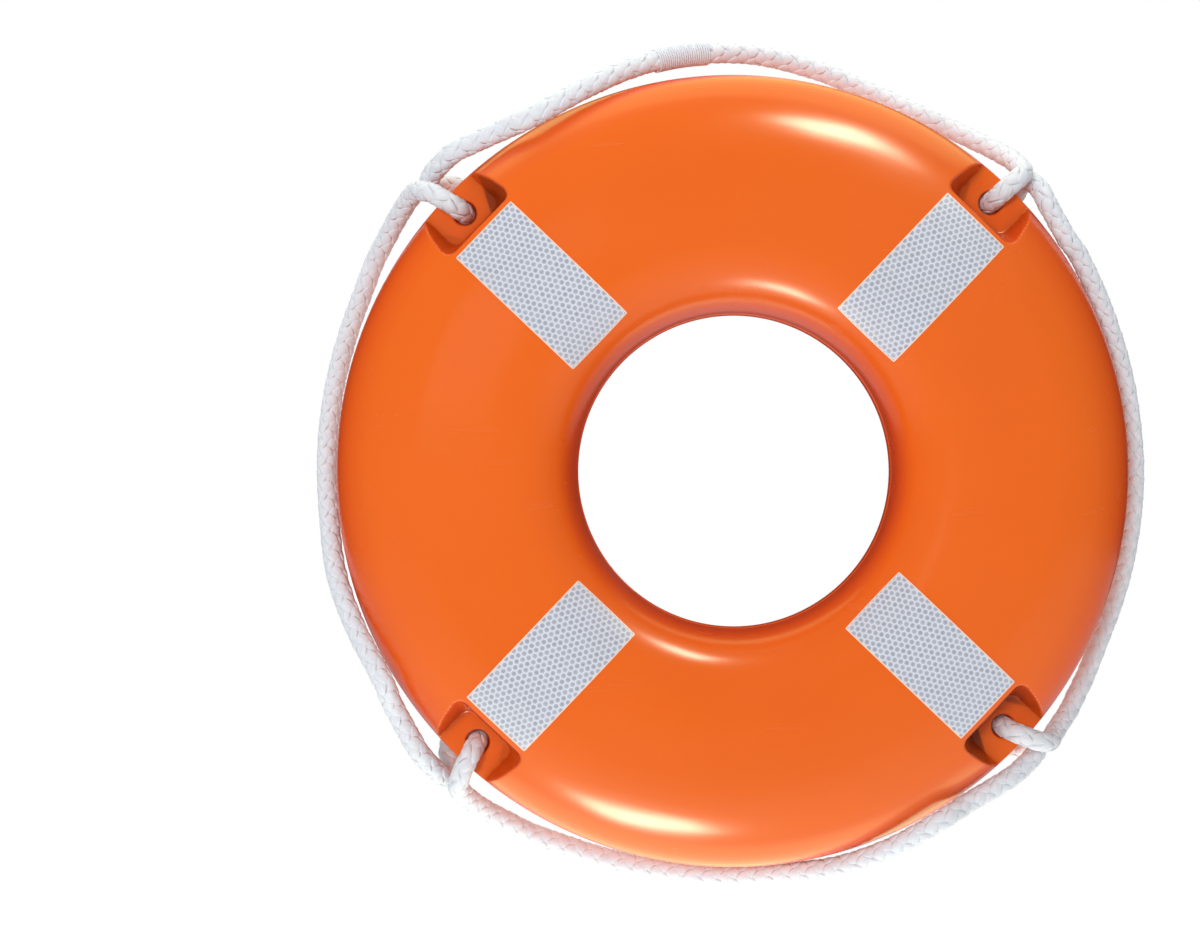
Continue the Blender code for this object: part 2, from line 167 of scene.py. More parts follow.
# The grab line's route: hitches, their leads and the free stretches, as in the solids
ROPE_JOINT_GAP = 0.0003
ROPE_STRAIGHT_END = ROPE_DIAMETER
HITCH_WEB_GAP = 0.0035
HITCH_BORE_OFFSET = 0.0005
HITCH_BACK_SQUARENESS = 4.0
HITCH_FRONT_SQUARENESS = 3.5
HITCH_TURN_POINTS = 12
HITCH_CROSSINGS = {
    "upper_right": (0.0100, 0.0015),
    "upper_left": (0.0120, -0.0040),
    "lower_left": (0.0130, -0.0055),
    "lower_right": (0.0085, -0.0070),
}
HITCH_ARRIVALS = {
    "upper_right": ((0.038, 0.2538, -0.0155), (0.026, 0.2572, -0.0165), (0.0182, 0.2611, -0.0128),
                    (0.01, 0.2635, -0.005), (0.0065, 0.263, 0.0035), (0.0077, 0.2602, 0.012),
                    (0.009, 0.257, 0.0205)),
    "upper_left": ((0.038, 0.2557, -0.024), (0.026, 0.2613, -0.021), (0.0145, 0.2646, -0.015),
                   (0.0025, 0.2665, -0.005), (-0.001, 0.266, 0.0035), (0.0033, 0.262, 0.012),
                   (0.009, 0.2575, 0.0205)),
    "lower_left": ((0.038, 0.2554, -0.024), (0.026, 0.26, -0.021), (0.0132, 0.2635, -0.015),
                   (0, 0.2655, -0.005), (-0.0035, 0.265, 0.0035), (0.002, 0.2615, 0.012),
                   (0.0095, 0.2575, 0.0205)),
    "lower_right": ((0.038, 0.251, -0.024), (0.026, 0.2554, -0.021), (0.0125, 0.2596, -0.015),
                    (-0.0015, 0.2624, -0.005), (-0.005, 0.2622, 0.0035), (-0.0005, 0.26, 0.012),
                    (0.0055, 0.257, 0.0205)),
}
HITCH_DEPARTURES = {
    "upper_right": ((0.002, 0.2555, -0.023), (0.0015, 0.2608, -0.0175), (-0.0025, 0.2638, -0.0095),
                    (-0.009, 0.2663, -0.0005), (-0.017, 0.267, 0.0085), (-0.028, 0.2662, 0.017),
                    (-0.04, 0.264, 0.0235)),
    "upper_left": ((-0.0057, 0.2555, -0.023), (-0.008, 0.2608, -0.0175), (-0.0115, 0.2654, -0.0095),
                   (-0.018, 0.2676, -0.0005), (-0.026, 0.2682, 0.008), (-0.036, 0.2679, 0.016),
                   (-0.048, 0.2664, 0.0235)),
    "lower_left": ((-0.0078, 0.2555, -0.023), (-0.0105, 0.2608, -0.0175), (-0.014, 0.2639, -0.0095),
                   (-0.0205, 0.2662, -0.0005), (-0.0285, 0.2674, 0.008), (-0.038, 0.2676, 0.016),
                   (-0.05, 0.2662, 0.0235)),
    "lower_right": ((-0.0098, 0.2555, -0.023), (-0.013, 0.2602, -0.0175), (-0.0165, 0.2616, -0.0095),
                    (-0.023, 0.263, -0.0005), (-0.031, 0.2642, 0.008), (-0.04, 0.2646, 0.016),
                    (-0.051, 0.2634, 0.0235)),
}
BIGHT_ROUTES = {
    "top": ((60, 0.2655, 0.032), (68, 0.2666, 0.037), (77, 0.27, 0.033), (86, 0.2712, 0.021),
            (95, 0.2676, 0.005), (103, 0.261, -0.012), (111, 0.253, -0.028), (119, 0.2495, -0.036)),
    "left": ((152, 0.2696, 0.034), (159, 0.2684, 0.0375), (167, 0.2664, 0.033), (176, 0.263, 0.021),
             (185, 0.259, 0.005), (193, 0.257, -0.012), (201, 0.2525, -0.028), (209, 0.25, -0.036)),
    "bottom": ((242.5, 0.2702, 0.034), (250, 0.2688, 0.038), (257, 0.2662, 0.034), (266, 0.2626, 0.021),
               (275, 0.2588, 0.005), (283, 0.257, -0.012), (291, 0.2525, -0.028), (299, 0.249, -0.036)),
    "right": ((332.5, 0.268, 0.034), (340, 0.268, 0.0375), (347, 0.2664, 0.033), (356, 0.2636, 0.024),
              (365, 0.261, 0.016), (374, 0.259, 0.0075), (383, 0.2574, -0.002), (391, 0.2568, -0.0115)),
}
BIGHT_ENDS = {
    "top": ("upper_right", "upper_left"),
    "left": ("upper_left", "lower_left"),
    "bottom": ("lower_left", "lower_right"),
    "right": ("lower_right", "upper_right"),
}

# Camera, from the photograph's 1200 x 926 frame
PHOTO_WIDTH = 1200
PHOTO_HEIGHT = 926
RING_CENTRE_X = 734.5
RING_CENTRE_Y = 471.0
PIXELS_PER_METRE = 1571
CAMERA_DISTANCE = 0.95
CAMERA_AZIMUTH = math.radians(-1.5)
CAMERA_ROLL = math.radians(-1.4)
SENSOR_WIDTH = 36.0
CLIP_START = 0.01

# Stage: the floor is lifted to white far from the ring and less near it, where its shadow falls
FLOOR_DROP = 0.80
FLOOR_SIZE = 9.0
FLOOR_TONE = 0.9
FLOOR_ROUGHNESS = 0.9
FLOOR_NEAR, FLOOR_FAR = 0.9, 2.2
FLOOR_LIFT_NEAR, FLOOR_LIFT_FAR = 0.22, 0.53
SURROUND_LEVEL = 0.54
MIRRORED_LEVEL = 0.03
WHITE_LAMP = (1.0, 1.0, 1.0)
WARM_LAMP = (1.0, 0.97, 0.72)
PALE_CARD = (0.97, 1.0, 0.97)
WARM_CARD = (1.0, 0.96, 0.34)
# Tilt from the front and turn about the ring's axis in degrees, distance, width and height, watts,
# what the lamp shows on, and its colour
LAMPS = {
    "front_soft_box": (17, 150, 1.9, 0.5, 0.4, 18.0, "surface", WHITE_LAMP),
    "back_soft_box": (163, 30, 1.9, 0.5, 0.4, 13.0, "surface", WHITE_LAMP),
    "upper_soft_box": (60, 70, 0.80, 0.22, 0.16, 4.2, "gloss", WARM_LAMP),
    "lower_soft_box": (64, 255, 1.00, 0.31, 0.20, 7.6, "gloss", WARM_LAMP),
    "upper_card": (100, 90, 0.60, 1.0, 0.6, 2.8, "surface", PALE_CARD),
    "upper_sheen_card": (104, 90, 0.60, 1.0, 0.5, 2.6, "gloss", WARM_CARD),
    "lower_card": (100, 270, 0.60, 1.0, 0.6, 2.8, "surface", PALE_CARD),
    "lower_sheen_card": (104, 270, 0.60, 1.0, 0.5, 2.6, "gloss", WARM_CARD),
}

# Colours, in linear light
SHELL_ORANGE = (0.80, 0.128, 0.010)
SHELL_PALE_ORANGE = (0.84, 0.142, 0.012)
SHELL_PATCH = (0.70, 0.080, 0.004)
SHELL_EDGE_SHADE = (0.76, 0.060, 0.001)
POCKET_PAINTED_SHADE = (0.55, 0.055, 0.005)
CORNER_PAINTED_SHADE = (0.13, 0.012, 0.001)
TAPE_CELL_DARK = (0.46, 0.49, 0.57)
TAPE_CELL_PALE = (0.54, 0.56, 0.64)
TAPE_CELL_CORE = (0.35, 0.38, 0.47)
TAPE_NET = (0.71, 0.735, 0.81)
TAPE_SEAL = (0.92, 0.68, 0.55)
TAPE_SOIL = (0.45, 0.44, 0.42)
CORD_LIGHT = (0.77, 0.80, 0.85)
CORD_SHADE = (0.67, 0.70, 0.755)
CORD_PIT_SHADE = tuple(value * 0.78 for value in CORD_SHADE)
CORD_SOIL = (0.55, 0.54, 0.52)
FOAM_DARK = (0.70, 0.60, 0.36)
FOAM_PALE = (0.86, 0.76, 0.50)

# Finishes: scales are per metre, wear scales are for patches and scuffs, reliefs are in metres
NOISE_RANGE = (0.3, 0.7)
SHELL_WEAR_SCALES = (9.0, 5.0)
SHELL_DRIFT_SCALE = 5.0
SHELL_PEEL_SCALE = 420.0
SHELL_WAVE_SCALE = 22.0
SHELL_PATCH_SHARE = 0.12
EDGE_SHADE_RANGE = (0.22, 0.75)
EDGE_SHADE_SHARE = 0.75
POCKET_PAINTED_SHADE_SHARE = 0.10
CORNER_TINT_SHARE = 0.85
SHELL_ROUGHNESS = (0.22, 0.28)
SHELL_SCUFF_ROUGHNESS = 0.16
PEEL_HEIGHT, WAVE_HEIGHT, SCUFF_DEPTH = 0.02, 0.35, 0.03
SHELL_RELIEF = 0.0006
SHELL_IOR = 1.45
TAPE_WEAR_SCALES = (30.0, 9.0)
TAPE_TONE_SCALE = 210.0
TAPE_NET_RANGE = (0.62, 0.96)
TAPE_CORE_RANGE = (0.24, 0.74)
TAPE_CORE_TONES = (0.38, 0.62)
TAPE_CORE_SHARES = (1.0, 0.58)
TAPE_SOIL_SHARE = 0.10
TAPE_ROUGHNESS = (0.40, 0.48)
TAPE_SCUFF_ROUGHNESS = 0.2
TAPE_METALLIC = 0.12
TAPE_RELIEF = 0.00007
CORD_WEAR_SCALES = (26.0, 9.0)
BRAID_FIBRES, TWINE_FIBRES = 9.0, 4.0
FIBRE_SCALE = 90.0
CORD_PIT_SHADE_RANGE = (0.35, 1.0)
CORD_PIT_SHADE_SHARE = 0.55
CORD_SOIL_SHARE = 0.10
CORD_ROUGHNESS = (0.55, 0.8)
CORD_RELIEF = 0.0004
CORD_SHEEN = 0.15
FOAM_CELL_SCALE = 900.0
FOAM_TONES = (0.35, 0.65)
FOAM_ROUGHNESS = (0.8, 0.95)
FOAM_RELIEF = 0.0008

# From the ring's own axes, x right, y up and z to the front, to the row's
RING_PLACE = Matrix.Translation((0.0, 0.0, -HOLE_RADIUS)) @ Matrix.Rotation(math.radians(90), 4, "X")
MERGE_DISTANCE = 0.00001


# Camera and stage

def place_camera():
    camera = bpy.data.objects.new("camera", bpy.data.cameras.new("camera"))
    bpy.context.scene.collection.objects.link(camera)
    bpy.context.scene.camera = camera
    back = Vector((math.sin(CAMERA_AZIMUTH), -math.cos(CAMERA_AZIMUTH), 0.0))
    camera.location = Vector((0.0, 0.0, -HOLE_RADIUS)) + back * CAMERA_DISTANCE
    aim = (-back).to_track_quat("-Z", "Y").to_matrix().to_4x4()
    camera.rotation_euler = (aim @ Matrix.Rotation(CAMERA_ROLL, 4, "Z")).to_euler()
    lens = camera.data
    lens.sensor_width = SENSOR_WIDTH
    lens.lens = SENSOR_WIDTH * CAMERA_DISTANCE * PIXELS_PER_METRE / PHOTO_WIDTH
    lens.shift_x = -(RING_CENTRE_X - PHOTO_WIDTH / 2) / PHOTO_WIDTH
    lens.shift_y = (RING_CENTRE_Y - PHOTO_HEIGHT / 2) / PHOTO_WIDTH
    lens.clip_start = CLIP_START


def soft_box(name, tilt, turn, distance, width, height, power, shows_on, colour):
    """A lamp that faces the ring's centre and shows only in surface colour or only as a highlight."""
    lamp = bpy.data.lights.new(name, "AREA")
    lamp.shape = "RECTANGLE"
    lamp.size = width
    lamp.size_y = height
    lamp.energy = power
    lamp.color = colour
    obj = bpy.data.objects.new(name, lamp)
    bpy.context.scene.collection.objects.link(obj)
    tilt = math.radians(tilt)
    turn = math.radians(turn)
    way = Vector((math.sin(tilt) * math.cos(turn), -math.cos(tilt), math.sin(tilt) * math.sin(turn)))
    obj.location = Vector((0.0, 0.0, -HOLE_RADIUS)) + way * distance
    obj.rotation_euler = way.to_track_quat("Z", "Y").to_euler()
    obj.visible_camera = False
    obj.visible_diffuse = shows_on == "surface"
    obj.visible_glossy = shows_on == "gloss"


def light_stage():
    """White surroundings for the camera, a plain fill for surfaces, dim in mirrored rays, and the lamps."""
    world = bpy.data.worlds.new("studio")
    bpy.context.scene.world = world
    world.use_nodes = True
    nodes, links = world.node_tree.nodes, world.node_tree.links
    ground = nodes["Background"]
    ground.inputs["Color"].default_value = (1.0, 1.0, 1.0, 1.0)
    path = nodes.new("ShaderNodeLightPath")
    seen = math_node(nodes, links, "MAXIMUM", path.outputs["Is Camera Ray"],
                     path.outputs["Is Transmission Ray"])
    unseen = mapped(nodes, links, path.outputs["Is Glossy Ray"], 0.0, 1.0, SURROUND_LEVEL,
                    MIRRORED_LEVEL)
    level = nodes.new("ShaderNodeMapRange")
    level.inputs["To Max"].default_value = 1.0
    links.new(unseen, level.inputs["To Min"])
    links.new(seen, level.inputs["Value"])
    links.new(level.outputs[0], ground.inputs["Strength"])
    for name, lamp in LAMPS.items():
        soft_box(name, *lamp)


def floor_material():
    """A plain matt floor that the camera sees as white, down to the ring's soft shadow."""
    material, nodes, links, shader = new_material("pale_floor")
    shader.inputs["Base Color"].default_value = (FLOOR_TONE, FLOOR_TONE, FLOOR_TONE, 1.0)
    shader.inputs["Roughness"].default_value = FLOOR_ROUGHNESS
    shader.inputs["Emission Color"].default_value = (1.0, 1.0, 1.0, 1.0)
    place = nodes.new("ShaderNodeTexCoord").outputs["Object"]
    flat = nodes.new("ShaderNodeVectorMath")
    flat.operation = "MULTIPLY"
    flat.inputs[1].default_value = (1.0, 1.0, 0.0)
    links.new(place, flat.inputs[0])
    distance = nodes.new("ShaderNodeVectorMath")
    distance.operation = "LENGTH"
    links.new(flat.outputs[0], distance.inputs[0])
    lift = mapped(nodes, links, distance.outputs["Value"], FLOOR_NEAR, FLOOR_FAR, FLOOR_LIFT_NEAR,
                  FLOOR_LIFT_FAR)
    path = nodes.new("ShaderNodeLightPath")
    links.new(math_node(nodes, links, "MULTIPLY", lift, path.outputs["Is Camera Ray"]),
              shader.inputs["Emission Strength"])
    return material


def lay_floor():
    bm = bmesh.new()
    bmesh.ops.create_grid(bm, x_segments=1, y_segments=1, size=FLOOR_SIZE / 2)
    bmesh.ops.translate(bm, verts=bm.verts, vec=(0.0, 0.0, cad_box[0][2] - FLOOR_DROP))
    mesh = bpy.data.meshes.new("floor")
    bm.to_mesh(mesh)
    bm.free()
    floor = bpy.data.objects.new("floor", mesh)
    bpy.context.scene.collection.objects.link(floor)
    mesh.materials.append(floor_material())


# Shared mesh helpers

def finish_piece(name, bm, material, replaced):
    """Put a piece modelled on the ring's own axes into the row, and hand it to the frame."""
    bm.transform(RING_PLACE)
    mesh = bpy.data.meshes.new(name)
    bm.to_mesh(mesh)
    bm.free()
    mesh.materials.append(material)
    piece = bpy.data.objects.new(name, mesh)
    bpy.context.scene.collection.objects.link(piece)
    mesh.shade_smooth()
    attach(piece, "root")
    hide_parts(*replaced)
    return piece


def dome_point(turn, side):
    """A point of the ring's section: side is 1 on the rim's half and -1 on the hole's."""
    width = (RING_RADIUS - HOLE_RADIUS) / 2 - HALF_LAND
    power = 2 / (RIM_SQUARENESS if side > 0 else HOLE_SQUARENESS)
    across = HALF_LAND + width * max(math.cos(turn), 0.0) ** power
    rise = HALF_THICKNESS * math.sin(turn) ** power
    return MID_RADIUS + side * across, rise


def dome_rise(radius):
    """Height of the dome over the parting plane at a radius."""
    width = (RING_RADIUS - HOLE_RADIUS) / 2 - HALF_LAND
    squareness = RIM_SQUARENESS if radius > MID_RADIUS else HOLE_SQUARENESS
    share = max(abs(radius - MID_RADIUS) - HALF_LAND, 0.0) / width
    return HALF_THICKNESS * max(1 - share ** squareness, 0.0) ** (1 / squareness)


def blend_low(first, second, width):
    """The lower of two heights, with the crease between them rounded."""
    overlap = max(width - abs(first - second), 0.0) / width
    return min(first, second) - width / 4 * overlap * overlap


def blend_high(first, second, width):
    return -blend_low(-first, -second, width)


# Moulded shells

def weld_bead(wall, way):
    """The bead's points from its crest to the wall: way is 1 on the rim and -1 in the hole."""
    return [(wall + way * BEAD_HEIGHT, WELD_GAP),
            (wall + way * BEAD_HEIGHT * BEAD_FULLNESS, BEAD_WIDTH / 2), (wall, BEAD_WIDTH)]


def shell_outline():
    """Half section from the weld at the rim over the crown to the weld at the hole."""
    samples = SECTION_SAMPLES
    walk = [dome_point(math.pi / 2 * i / samples, 1) for i in range(samples + 1)]
    walk += [dome_point(math.pi / 2 * (1 - i / samples), -1) for i in range(samples + 1)]
    outline = weld_bead(RING_RADIUS, 1)
    last = Vector(outline[-1])
    for radius, rise in walk:
        if rise <= BEAD_CLEARANCE:
            continue
        spacing = PLAIN_SPACING
        if radius > POCKET_INNER_RADIUS - FINE_ZONE:
            spacing = FINE_SPACING
        if radius > RING_RADIUS - RIM_ZONE:
            spacing = RIM_SPACING
        here = Vector((radius, rise))
        if (here - last).length >= spacing:
            outline.append((radius, rise))
            last = here
    return outline + weld_bead(HOLE_RADIUS, -1)[::-1]


def pocket_rise(along, aside):
    """Height of a pocket's floor and walls at a place beside its lug."""
    distance = blend_high(POCKET_INNER_RADIUS - along, abs(aside) - POCKET_HALF_WIDTH,
                          POCKET_CORNER_BLEND)
    return WEB_FACE + blend_high(0.0, distance / math.tan(POCKET_DRAFT), POCKET_FLOOR_BLEND)


def corner_painted_shade(spot, along, aside):
    """Painted shade where a pocket's walls meet its floor, and a painted shadow in a wedge up its side
    walls.
    """
    wall = max(POCKET_INNER_RADIUS - along, abs(aside) - POCKET_HALF_WIDTH)
    corner = CORNER_SHADE_SHARE * math.exp(-(max(wall / WALL_SHADE_SPREAD, -wall) / POCKET_SHADE_REACH))
    lug = list(LUG_ANGLES)[int(math.degrees(math.atan2(spot.y, spot.x)) % 360 // 90)]
    foot = POCKET_MOUTH_HALF_WIDTH - (RING_RADIUS - SHADOW_WEDGE_START - along) * SHADOW_WEDGE_SLOPE
    share = min(max((abs(aside) - foot) / SHADOW_WEDGE_EDGE, 0.0), 1.0)
    return max(corner, share * SHADOW_WEDGES[lug][0 if aside < 0 else 1])


def press_pockets(bm, pocket_layer, shade_layer):
    """Press the four pockets into a turned half shell, with rounded mouths and floors."""
    for vert in bm.verts:
        radius = math.hypot(vert.co.x, vert.co.y)
        angle = math.degrees(math.atan2(vert.co.y, vert.co.x)) % 90 - 45
        along = radius * math.cos(math.radians(angle))
        aside = radius * math.sin(math.radians(angle))
        if along < POCKET_INNER_RADIUS - POCKET_MARGIN or abs(aside) > POCKET_HALF_WIDTH + POCKET_MARGIN:
            continue
        rise = blend_low(vert.co.z, pocket_rise(along, aside), POCKET_MOUTH_BLEND)
        # How deep the point lies in the pocket, which drives the painted shade there
        vert[pocket_layer] = min(max((vert.co.z - rise) / POCKET_FULL_DEPTH, 0.0), 1.0)
        # Painted shade in the corners and painted shadow wedges, only below the pocket's mouth
        below_mouth = min(max((vert.co.z - rise) / POCKET_SHADE_REACH, 0.0), 1.0)
        vert[shade_layer] = below_mouth * corner_painted_shade(vert.co, along, aside)
        vert.co.z = max(rise, min(vert.co.z, WEB_FACE - POCKET_MOUTH_BLEND))


def cut_bores(bm):
    """Open the rope bores in the pocket floors and run their collars down to the parting plane."""
    mouth = BORE_RADIUS + BORE_FLARE
    for angle in LUG_ANGLES.values():
        turn = math.radians(angle)
        centre = Vector((BORE_CENTRE_RADIUS * math.cos(turn), BORE_CENTRE_RADIUS * math.sin(turn), 0.0))
        inside = [face for face in bm.faces
                  if (face.calc_center_median().xy - centre.xy).length < mouth - BORE_CUT_MARGIN]
        bmesh.ops.delete(bm, geom=inside, context="FACES")
        rim = [edge for edge in bm.edges if edge.is_boundary
               and all((vert.co.xy - centre.xy).length < mouth + BORE_RIM_REACH for vert in edge.verts)]
        for vert in {vert for edge in rim for vert in edge.verts}:
            out = (vert.co.xy - centre.xy).normalized() * mouth
            vert.co.x = centre.x + out.x
            vert.co.y = centre.y + out.y
        bends = [math.pi / 2 * step / BORE_STEPS for step in range(1, BORE_STEPS + 1)]
        levels = [(mouth - BORE_FLARE * math.sin(bend), WEB_FACE - BORE_FLARE * (1 - math.cos(bend)))
                  for bend in bends]
        levels += [(BORE_THROAT, WEB_FACE - BORE_THROAT_DEPTH), (BORE_THROAT, WELD_GAP)]
        for radius, rise in levels:
            grown = bmesh.ops.extrude_edge_only(bm, edges=rim)["geom"]
            rim = [item for item in grown if isinstance(item, bmesh.types.BMEdge)]
            for vert in (item for item in grown if isinstance(item, bmesh.types.BMVert)):
                out = (vert.co.xy - centre.xy).normalized() * radius
                vert.co = (centre.x + out.x, centre.y + out.y, rise)


def shell_half():
    """One moulded half on the front side, closed by its flat weld face."""
    bm = bmesh.new()
    pocket_layer = bm.verts.layers.float.new("pocket")
    shade_layer = bm.verts.layers.float.new("pocket_painted_shade")
    verts = [bm.verts.new((radius, 0.0, rise)) for radius, rise in shell_outline()]
    profile = verts + [bm.edges.new(pair) for pair in zip(verts, verts[1:])]
    plain = (math.pi / 2 - LUG_SECTOR) / 2
    for _ in LUG_ANGLES:
        for angle, steps in ((plain, PLAIN_SECTOR_STEPS), (LUG_SECTOR, LUG_SECTOR_STEPS),
                             (plain, PLAIN_SECTOR_STEPS)):
            spun = bmesh.ops.spin(bm, geom=profile, cent=(0, 0, 0), axis=(0, 0, 1), angle=angle,
                                  steps=steps, use_merge=False)
            profile = spun["geom_last"]
    bmesh.ops.remove_doubles(bm, verts=bm.verts, dist=MERGE_DISTANCE)
    press_pockets(bm, pocket_layer, shade_layer)
    cut_bores(bm)
    bmesh.ops.triangle_fill(bm, edges=[edge for edge in bm.edges if edge.is_boundary])
    bmesh.ops.recalc_face_normals(bm, faces=bm.faces)
    return bm


def build_shells(material):
    front = shell_half()
    back = front.copy()
    back.transform(Matrix.Diagonal((1.0, 1.0, -1.0, 1.0)))
    bmesh.ops.reverse_faces(back, faces=back.faces)
    for name, bm in (("front_shell_skin", front), ("back_shell_skin", back)):
        shell = finish_piece(name, bm, material, [name.replace("_skin", "")])
        shell.data.set_sharp_from_angle(angle=SHELL_SHARP_ANGLE)


# Reflective tapes

def tape_runs(inner):
    """Distances over the dome from a tape's inner end to evenly spaced radii along it."""
    runs = [0.0]
    for step in range(TAPE_RUN_STEPS):
        start = inner + TAPE_LENGTH * step / TAPE_RUN_STEPS
        end = inner + TAPE_LENGTH * (step + 1) / TAPE_RUN_STEPS
        runs.append(runs[-1] + math.hypot(end - start, dome_rise(end) - dome_rise(start)))
    return runs


def tape_patch(angle, side):
    """One tape laid over the dome, its UV map in metres along and across it: side -1 is the back."""
    bm = bmesh.new()
    bmesh.ops.create_grid(bm, x_segments=TAPE_ROWS, y_segments=TAPE_COLUMNS, size=0.5)
    uv_layer = bm.loops.layers.uv.new("tape_uv")
    inner = TAPE_OUTER_RADIUS - TAPE_LENGTH
    for vert in bm.verts:
        vert.co.x = inner + (vert.co.x + 0.5) * TAPE_LENGTH
        vert.co.y = vert.co.y * TAPE_WIDTH
    corners = [vert for vert in bm.verts if len(vert.link_faces) == 1]
    bmesh.ops.bevel(bm, geom=corners, offset=TAPE_CORNER_RADIUS, offset_type="OFFSET",
                    segments=TAPE_CORNER_SEGMENTS, profile=0.5, affect="VERTICES", material=-1)
    runs = tape_runs(inner)
    for loop in (loop for face in bm.faces for loop in face.loops):
        share = min(max((loop.vert.co.x - inner) / TAPE_LENGTH, 0.0), 1.0) * TAPE_RUN_STEPS
        low = min(int(share), TAPE_RUN_STEPS - 1)
        loop[uv_layer].uv = (runs[low] + (runs[low + 1] - runs[low]) * (share - low), loop.vert.co.y)
    for vert in bm.verts:
        vert.co.z = dome_rise(math.hypot(vert.co.x, vert.co.y)) + TAPE_LIFT
    bmesh.ops.recalc_face_normals(bm, faces=bm.faces)
    if sum(face.normal.z for face in bm.faces) < 0:
        bmesh.ops.reverse_faces(bm, faces=bm.faces)
    bmesh.ops.solidify(bm, geom=bm.faces[:], thickness=TAPE_LIFT)
    place = Matrix.Rotation(math.radians(angle), 4, "Z") @ Matrix.Diagonal((1.0, 1.0, side, 1.0))
    bm.transform(place)
    if side < 0:
        bmesh.ops.reverse_faces(bm, faces=bm.faces)
    return bm, runs[-1]


def build_tapes(make_material):
    """The eight tapes, whose one material is made once their length over the dome is known."""
    material = None
    for label, side in (("front", 1), ("back", -1)):
        for place, angle in LUG_ANGLES.items():
            bm, length = tape_patch(angle, side)
            material = material or make_material(length)
            name = f"{label}_tape_{place}"
            tape = finish_piece(f"{name}_film", bm, material, [name])
            tape.data.set_sharp_from_angle(angle=TAPE_SHARP_ANGLE)


# Grab line

def smooth_points(route, spacing):
    """Points along a smooth curve through the route's own, whose first and last runs stay straight."""
    last = len(route) - 1
    tangents = [(route[min(i + 1, last)] - route[max(i - 1, 0)]).normalized() for i in range(last + 1)]
    tangents[1] = tangents[0]
    tangents[last - 1] = tangents[last]
    points = [route[0]]
    for index in range(last):
        start, end = route[index], route[index + 1]
        reach = (end - start).length / 3
        count = max(1, round((end - start).length / spacing))
        curve = interpolate_bezier(start, start + tangents[index] * reach,
                                   end - tangents[index + 1] * reach, end, count + 1)
        points += curve[1:]
    return points


def beside_lug(angle, clockwise, radius, back):
    """A point given beside a lug: distance clockwise, radius along the lug and depth to the back."""
    turn = math.radians(angle)
    outward = Vector((math.cos(turn), math.sin(turn), 0.0))
    clockwise_way = Vector((math.sin(turn), -math.cos(turn), 0.0))
    return outward * radius + clockwise_way * clockwise + Vector((0.0, 0.0, -back))


def hitch_turn(place):
    """Half a turn about the web: down behind it, through the bore and up in front."""
    bore = BORE_CENTRE_RADIUS + HITCH_BORE_OFFSET
    depth = WEB_FACE + ROPE_RADIUS + HITCH_WEB_GAP
    points = []
    for index in range(HITCH_TURN_POINTS + 1):
        turn = math.pi * index / HITCH_TURN_POINTS
        inward, back = max(math.sin(turn), 0.0), math.cos(turn)
        side = 0 if index * 2 <= HITCH_TURN_POINTS else 1
        power = 2 / (HITCH_BACK_SQUARENESS, HITCH_FRONT_SQUARENESS)[side]
        outward = 1 - inward ** power
        points.append(beside_lug(LUG_ANGLES[place], HITCH_CROSSINGS[place][side] * outward,
                                 bore + (RING_RADIUS - bore) * outward,
                                 depth * math.copysign(abs(back) ** power, back)))
    return points


def hitch_route(place):
    """The line's points past one lug: over the rim to the back, round the web and away again."""
    arrival, departure = ([beside_lug(LUG_ANGLES[place], *point) for point in lead[place]]
                          for lead in (HITCH_ARRIVALS, HITCH_DEPARTURES))
    return arrival + hitch_turn(place) + departure


def bight_route(name, hitches):
    leaving, arriving = (hitches[place] for place in BIGHT_ENDS[name])
    out_way = (leaving[-1] - leaving[-2]).normalized()
    in_way = (arriving[1] - arriving[0]).normalized()
    route = [leaving[-1] + out_way * ROPE_JOINT_GAP,
             leaving[-1] + out_way * (ROPE_JOINT_GAP + ROPE_STRAIGHT_END)]
    route += [beside_lug(degrees, 0.0, radius, back) for degrees, radius, back in BIGHT_ROUTES[name]]
    route += [arriving[0] - in_way * (ROPE_JOINT_GAP + ROPE_STRAIGHT_END),
              arriving[0] - in_way * ROPE_JOINT_GAP]
    return route


def spaced(points, step):
    """The same run of points, evenly spaced along it."""
    total = sum((b - a).length for a, b in zip(points, points[1:]))
    count = round(total / step)
    even = [points[0]]
    passed = 0.0
    for first, second in zip(points, points[1:]):
        length = (second - first).length
        while len(even) < count and len(even) * total / count <= passed + length:
            even.append(first.lerp(second, (len(even) * total / count - passed) / length))
        passed += length
    even.append(points[-1])
    return even


def rope_centreline():
    """The whole line, from the middle of the whipping once round the ring and back to it."""
    hitches = {place: hitch_route(place) for place in LUG_ANGLES}
    runs = {name: smooth_points(bight_route(name, hitches), ROPE_STEP) for name in BIGHT_ENDS}
    turns = {place: smooth_points(route, ROPE_STEP) for place, route in hitches.items()}
    top = spaced(runs["top"], ROPE_STEP)
    join = round((WHIPPING_START + WHIPPING_LENGTH / 2) / ROPE_STEP)
    line = top[join:]
    for name in ("left", "bottom", "right"):
        line += turns[BIGHT_ENDS[name][0]] + runs[name]
    line += turns["upper_right"] + top[:join + 1]
    return spaced(line, ROPE_STEP)


def carried_frames(points):
    """Tangent, normal and binormal at each point, carried along without twist."""
    last = len(points) - 1
    frames = []
    normal = Vector((0.0, 0.0, 1.0))
    for index in range(last + 1):
        tangent = (points[min(index + 1, last)] - points[max(index - 1, 0)]).normalized()
        normal = (normal - tangent * normal.dot(tangent)).normalized()
        frames.append((tangent, normal, tangent.cross(normal)))
    return frames


